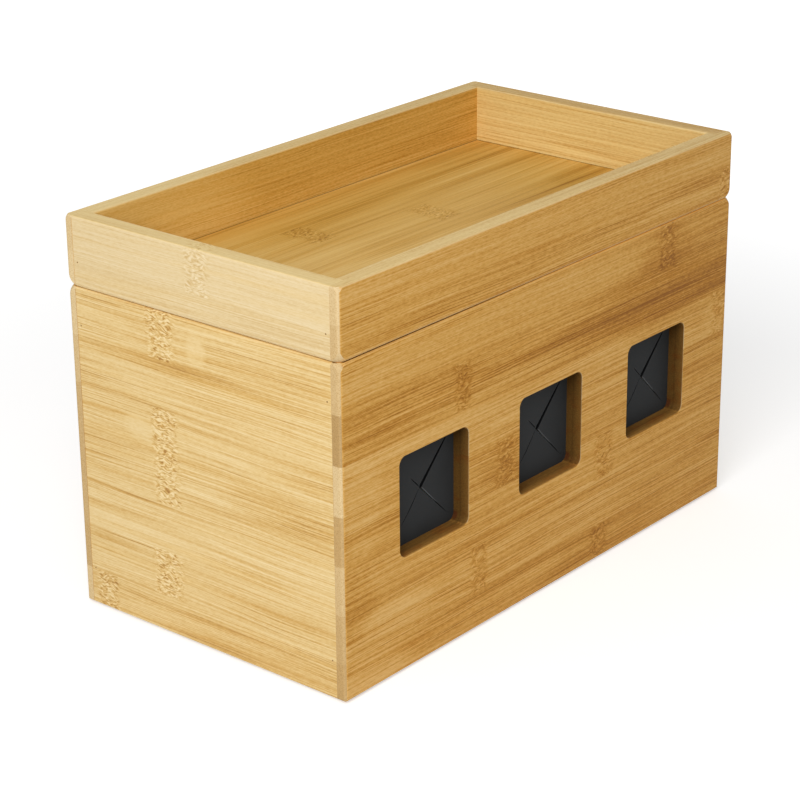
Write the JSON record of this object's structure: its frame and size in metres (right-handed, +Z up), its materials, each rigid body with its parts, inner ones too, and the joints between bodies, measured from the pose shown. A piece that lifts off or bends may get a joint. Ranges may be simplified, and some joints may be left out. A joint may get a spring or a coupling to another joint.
{
  "type": "cable management box",
  "caption": "Wooden cable management box with a lift-off tray lid and square front windows closed by X-slit rubber flaps.",
  "frame": {"origin": "below the middle of the box, on the surface that its feet stand on", "axes": "+X along the length, to the right seen from the front; -Y is the front with the cable windows; +Z up"},
  "size_m": [0.31, 0.17, 0.2015],
  "materials": {
    "bamboo_body": "laminated bamboo, satin lacquer",
    "bamboo_lid": "laminated bamboo, satin lacquer",
    "rubber_seal": "matt black rubber sheet",
    "rubber_foot": "matt black rubber",
    "steel_pin": "dull drawn steel"
  },
  "bodies": {
    "box": {"front_panel": "bamboo_body", "rear_panel": "bamboo_body", "left_panel": "bamboo_body", "right_panel": "bamboo_body", "bottom_panel": "bamboo_body", "body_corner_pins": "steel_pin", "foot_front_left": "rubber_foot", "foot_rear_left": "rubber_foot", "foot_front_right": "rubber_foot", "foot_rear_right": "rubber_foot", "seal_left": "rubber_seal", "seal_middle": "rubber_seal", "seal_right": "rubber_seal"},
    "lid": {"lid_front_rail": "bamboo_lid", "lid_rear_rail": "bamboo_lid", "lid_left_rail": "bamboo_lid", "lid_right_rail": "bamboo_lid", "tray_floor": "bamboo_lid", "lid_corner_pins": "steel_pin", "lid_batten_front": "bamboo_lid", "lid_batten_rear": "bamboo_lid", "lid_batten_left": "bamboo_lid", "lid_batten_right": "bamboo_lid"},
    "left_flap_bottom": {"seal_left_flap_bottom": "rubber_seal"},
    "left_flap_right": {"seal_left_flap_right": "rubber_seal"},
    "left_flap_top": {"seal_left_flap_top": "rubber_seal"},
    "left_flap_left": {"seal_left_flap_left": "rubber_seal"},
    "middle_flap_bottom": {"seal_middle_flap_bottom": "rubber_seal"},
    "middle_flap_right": {"seal_middle_flap_right": "rubber_seal"},
    "middle_flap_top": {"seal_middle_flap_top": "rubber_seal"},
    "middle_flap_left": {"seal_middle_flap_left": "rubber_seal"},
    "right_flap_bottom": {"seal_right_flap_bottom": "rubber_seal"},
    "right_flap_right": {"seal_right_flap_right": "rubber_seal"},
    "right_flap_top": {"seal_right_flap_top": "rubber_seal"},
    "right_flap_left": {"seal_right_flap_left": "rubber_seal"}
  },
  "joints": [
    {"name": "lid_lift", "type": "slide", "parent": "box", "child": "lid", "axis": [0, 0, 1], "range_m": [0, 0.15]},
    {"name": "left_flap_bottom_fold", "type": "hinge", "parent": "box", "child": "left_flap_bottom", "pos_m": [-0.09, -0.0752, 0.0625], "axis": [-1, 0, 0], "range_deg": [-75, 75], "stiffness_Nm_per_rad": 0.02},
    {"name": "left_flap_right_fold", "type": "hinge", "parent": "box", "child": "left_flap_right", "pos_m": [-0.0685, -0.0752, 0.084], "axis": [0, 0, -1], "range_deg": [-75, 75], "stiffness_Nm_per_rad": 0.02},
    {"name": "left_flap_top_fold", "type": "hinge", "parent": "box", "child": "left_flap_top", "pos_m": [-0.09, -0.0752, 0.1055], "axis": [1, 0, 0], "range_deg": [-75, 75], "stiffness_Nm_per_rad": 0.02},
    {"name": "left_flap_left_fold", "type": "hinge", "parent": "box", "child": "left_flap_left", "pos_m": [-0.1115, -0.0752, 0.084], "axis": [0, 0, 1], "range_deg": [-75, 75], "stiffness_Nm_per_rad": 0.02},
    {"name": "middle_flap_bottom_fold", "type": "hinge", "parent": "box", "child": "middle_flap_bottom", "pos_m": [0, -0.0752, 0.0625], "axis": [-1, 0, 0], "range_deg": [-75, 75], "stiffness_Nm_per_rad": 0.02},
    {"name": "middle_flap_right_fold", "type": "hinge", "parent": "box", "child": "middle_flap_right", "pos_m": [0.0215, -0.0752, 0.084], "axis": [0, 0, -1], "range_deg": [-75, 75], "stiffness_Nm_per_rad": 0.02},
    {"name": "middle_flap_top_fold", "type": "hinge", "parent": "box", "child": "middle_flap_top", "pos_m": [0, -0.0752, 0.1055], "axis": [1, 0, 0], "range_deg": [-75, 75], "stiffness_Nm_per_rad": 0.02},
    {"name": "middle_flap_left_fold", "type": "hinge", "parent": "box", "child": "middle_flap_left", "pos_m": [-0.0215, -0.0752, 0.084], "axis": [0, 0, 1], "range_deg": [-75, 75], "stiffness_Nm_per_rad": 0.02},
    {"name": "right_flap_bottom_fold", "type": "hinge", "parent": "box", "child": "right_flap_bottom", "pos_m": [0.09, -0.0752, 0.0625], "axis": [-1, 0, 0], "range_deg": [-75, 75], "stiffness_Nm_per_rad": 0.02},
    {"name": "right_flap_right_fold", "type": "hinge", "parent": "box", "child": "right_flap_right", "pos_m": [0.1115, -0.0752, 0.084], "axis": [0, 0, -1], "range_deg": [-75, 75], "stiffness_Nm_per_rad": 0.02},
    {"name": "right_flap_top_fold", "type": "hinge", "parent": "box", "child": "right_flap_top", "pos_m": [0.09, -0.0752, 0.1055], "axis": [1, 0, 0], "range_deg": [-75, 75], "stiffness_Nm_per_rad": 0.02},
    {"name": "right_flap_left_fold", "type": "hinge", "parent": "box", "child": "right_flap_left", "pos_m": [0.0685, -0.0752, 0.084], "axis": [0, 0, 1], "range_deg": [-75, 75], "stiffness_Nm_per_rad": 0.02}
  ]
}
